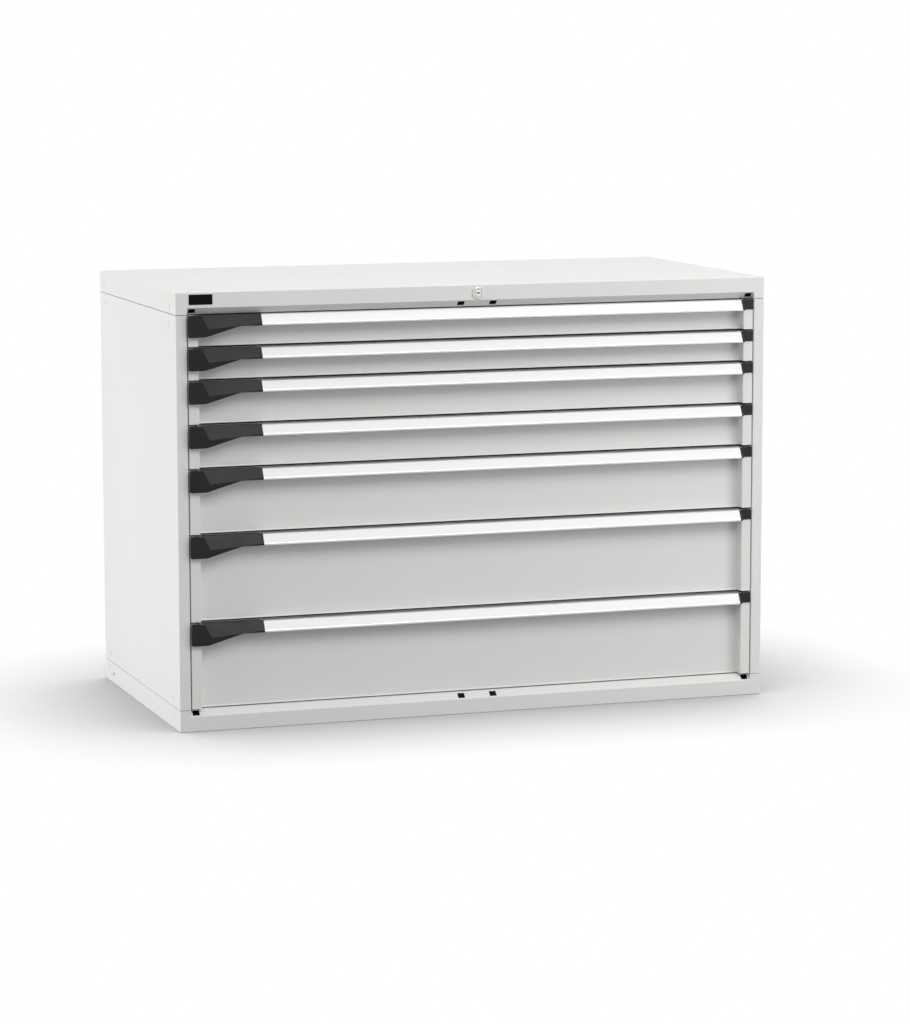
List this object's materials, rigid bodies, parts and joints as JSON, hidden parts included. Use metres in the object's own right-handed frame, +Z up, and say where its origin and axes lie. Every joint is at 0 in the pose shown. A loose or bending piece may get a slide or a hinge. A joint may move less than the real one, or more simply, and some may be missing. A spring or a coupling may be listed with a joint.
{
  "type": "multi-drawer cabinet",
  "caption": "Floor-standing steel workshop cabinet with full-width drawers, aluminium handles with side latches, and a central key lock.",
  "frame": {"origin": "on the floor, under the middle of the whole cabinet with its handles", "axes": "+X to the right seen from the front, +Y from the front to the back, +Z up"},
  "size_m": [1.431, 0.737, 1],
  "materials": {
    "paint": "light grey powder coat",
    "aluminium": "natural anodised extrusion",
    "black_plastic": "fine textured black plastic",
    "chrome": "nickel plated",
    "zinc": "zinc plated steel"
  },
  "bodies": {
    "cabinet": {"base": "paint", "top_cover": "paint", "left_side_panel": "paint", "right_side_panel": "paint", "back_panel": "paint", "uprights": "zinc", "cabinet_rails": "zinc", "rail_slot_plugs": "black_plastic", "side_plugs": "paint", "skirt_screws": "paint", "blank_plate": "black_plastic", "lock_housing": "chrome", "lock_guides": "zinc", "latch_strikes": "zinc"},
    "lock_plug": {"lock_plug": "chrome"},
    "lock_rod": {"lock_rod": "zinc"},
    "lock_bar": {"lock_bar": "zinc"},
    "drawer_1": {"drawer_1_box": "paint", "drawer_1_handle": "aluminium", "drawer_1_latch_housing": "black_plastic", "drawer_1_right_cap": "black_plastic"},
    "middle_rails_1": {"drawer_1_middle_rails": "zinc"},
    "latch_1": {"drawer_1_latch_lever": "black_plastic"},
    "drawer_2": {"drawer_2_box": "paint", "drawer_2_handle": "aluminium", "drawer_2_latch_housing": "black_plastic", "drawer_2_right_cap": "black_plastic"},
    "middle_rails_2": {"drawer_2_middle_rails": "zinc"},
    "latch_2": {"drawer_2_latch_lever": "black_plastic"},
    "drawer_3": {"drawer_3_box": "paint", "drawer_3_handle": "aluminium", "drawer_3_latch_housing": "black_plastic", "drawer_3_right_cap": "black_plastic"},
    "middle_rails_3": {"drawer_3_middle_rails": "zinc"},
    "latch_3": {"drawer_3_latch_lever": "black_plastic"},
    "drawer_4": {"drawer_4_box": "paint", "drawer_4_handle": "aluminium", "drawer_4_latch_housing": "black_plastic", "drawer_4_right_cap": "black_plastic"},
    "middle_rails_4": {"drawer_4_middle_rails": "zinc"},
    "latch_4": {"drawer_4_latch_lever": "black_plastic"},
    "drawer_5": {"drawer_5_box": "paint", "drawer_5_handle": "aluminium", "drawer_5_latch_housing": "black_plastic", "drawer_5_right_cap": "black_plastic"},
    "middle_rails_5": {"drawer_5_middle_rails": "zinc"},
    "latch_5": {"drawer_5_latch_lever": "black_plastic"},
    "drawer_6": {"drawer_6_box": "paint", "drawer_6_handle": "aluminium", "drawer_6_latch_housing": "black_plastic", "drawer_6_right_cap": "black_plastic"},
    "middle_rails_6": {"drawer_6_middle_rails": "zinc"},
    "latch_6": {"drawer_6_latch_lever": "black_plastic"},
    "drawer_7": {"drawer_7_box": "paint", "drawer_7_handle": "aluminium", "drawer_7_latch_housing": "black_plastic", "drawer_7_right_cap": "black_plastic"},
    "middle_rails_7": {"drawer_7_middle_rails": "zinc"},
    "latch_7": {"drawer_7_latch_lever": "black_plastic"}
  },
  "joints": [
    {"name": "drawer_1_slide", "type": "slide", "parent": "cabinet", "child": "drawer_1", "axis": [0, -1, 0], "range_m": [0, 0.612]},
    {"name": "middle_rails_1_slide", "type": "slide", "parent": "cabinet", "child": "middle_rails_1", "axis": [0, -1, 0], "range_m": [0, 0.306]},
    {"name": "latch_1_squeeze", "type": "hinge", "parent": "drawer_1", "child": "latch_1", "pos_m": [-0.6, -0.3505, 0.935], "axis": [-1, 0, 0], "range_deg": [0, 12], "stiffness_Nm_per_rad": 0.3, "springref_deg": -5.73},
    {"name": "drawer_2_slide", "type": "slide", "parent": "cabinet", "child": "drawer_2", "axis": [0, -1, 0], "range_m": [0, 0.612]},
    {"name": "middle_rails_2_slide", "type": "slide", "parent": "cabinet", "child": "middle_rails_2", "axis": [0, -1, 0], "range_m": [0, 0.306]},
    {"name": "latch_2_squeeze", "type": "hinge", "parent": "drawer_2", "child": "latch_2", "pos_m": [-0.6, -0.3505, 0.86], "axis": [-1, 0, 0], "range_deg": [0, 12], "stiffness_Nm_per_rad": 0.3, "springref_deg": -5.73},
    {"name": "drawer_3_slide", "type": "slide", "parent": "cabinet", "child": "drawer_3", "axis": [0, -1, 0], "range_m": [0, 0.612]},
    {"name": "middle_rails_3_slide", "type": "slide", "parent": "cabinet", "child": "middle_rails_3", "axis": [0, -1, 0], "range_m": [0, 0.306]},
    {"name": "latch_3_squeeze", "type": "hinge", "parent": "drawer_3", "child": "latch_3", "pos_m": [-0.6, -0.3505, 0.785], "axis": [-1, 0, 0], "range_deg": [0, 12], "stiffness_Nm_per_rad": 0.3, "springref_deg": -5.73},
    {"name": "drawer_4_slide", "type": "slide", "parent": "cabinet", "child": "drawer_4", "axis": [0, -1, 0], "range_m": [0, 0.612]},
    {"name": "middle_rails_4_slide", "type": "slide", "parent": "cabinet", "child": "middle_rails_4", "axis": [0, -1, 0], "range_m": [0, 0.306]},
    {"name": "latch_4_squeeze", "type": "hinge", "parent": "drawer_4", "child": "latch_4", "pos_m": [-0.6, -0.3505, 0.685], "axis": [-1, 0, 0], "range_deg": [0, 12], "stiffness_Nm_per_rad": 0.3, "springref_deg": -5.73},
    {"name": "drawer_5_slide", "type": "slide", "parent": "cabinet", "child": "drawer_5", "axis": [0, -1, 0], "range_m": [0, 0.612]},
    {"name": "middle_rails_5_slide", "type": "slide", "parent": "cabinet", "child": "middle_rails_5", "axis": [0, -1, 0], "range_m": [0, 0.306]},
    {"name": "latch_5_squeeze", "type": "hinge", "parent": "drawer_5", "child": "latch_5", "pos_m": [-0.6, -0.3505, 0.585], "axis": [-1, 0, 0], "range_deg": [0, 12], "stiffness_Nm_per_rad": 0.3, "springref_deg": -5.73},
    {"name": "drawer_6_slide", "type": "slide", "parent": "cabinet", "child": "drawer_6", "axis": [0, -1, 0], "range_m": [0, 0.612]},
    {"name": "middle_rails_6_slide", "type": "slide", "parent": "cabinet", "child": "middle_rails_6", "axis": [0, -1, 0], "range_m": [0, 0.306]},
    {"name": "latch_6_squeeze", "type": "hinge", "parent": "drawer_6", "child": "latch_6", "pos_m": [-0.6, -0.3505, 0.435], "axis": [-1, 0, 0], "range_deg": [0, 12], "stiffness_Nm_per_rad": 0.3, "springref_deg": -5.73},
    {"name": "drawer_7_slide", "type": "slide", "parent": "cabinet", "child": "drawer_7", "axis": [0, -1, 0], "range_m": [0, 0.612]},
    {"name": "middle_rails_7_slide", "type": "slide", "parent": "cabinet", "child": "middle_rails_7", "axis": [0, -1, 0], "range_m": [0, 0.306]},
    {"name": "latch_7_squeeze", "type": "hinge", "parent": "drawer_7", "child": "latch_7", "pos_m": [-0.6, -0.3505, 0.235], "axis": [-1, 0, 0], "range_deg": [0, 12], "stiffness_Nm_per_rad": 0.3, "springref_deg": -5.73},
    {"name": "lock_turn", "type": "hinge", "parent": "cabinet", "child": "lock_plug", "pos_m": [0, -0.3565, 0.981], "axis": [0, 1, 0], "range_deg": [0, 90]},
    {"name": "lock_rod_slide", "type": "slide", "parent": "cabinet", "child": "lock_rod", "axis": [1, 0, 0], "range_m": [0, 0.0142]},
    {"name": "lock_bar_lift", "type": "slide", "parent": "cabinet", "child": "lock_bar", "axis": [0, 0, 1], "range_m": [0, 0.01414]}
  ],
  "couplings": [
    {"joint": "middle_rails_1_slide", "follows": "drawer_1_slide", "ratio": 0.5},
    {"joint": "middle_rails_2_slide", "follows": "drawer_2_slide", "ratio": 0.5},
    {"joint": "middle_rails_3_slide", "follows": "drawer_3_slide", "ratio": 0.5},
    {"joint": "middle_rails_4_slide", "follows": "drawer_4_slide", "ratio": 0.5},
    {"joint": "middle_rails_5_slide", "follows": "drawer_5_slide", "ratio": 0.5},
    {"joint": "middle_rails_6_slide", "follows": "drawer_6_slide", "ratio": 0.5},
    {"joint": "middle_rails_7_slide", "follows": "drawer_7_slide", "ratio": 0.5},
    {"joint": "lock_turn", "follows": "lock_bar_lift", "rad_per_m": 111.07},
    {"joint": "lock_rod_slide", "follows": "lock_bar_lift", "ratio": 1}
  ]
}
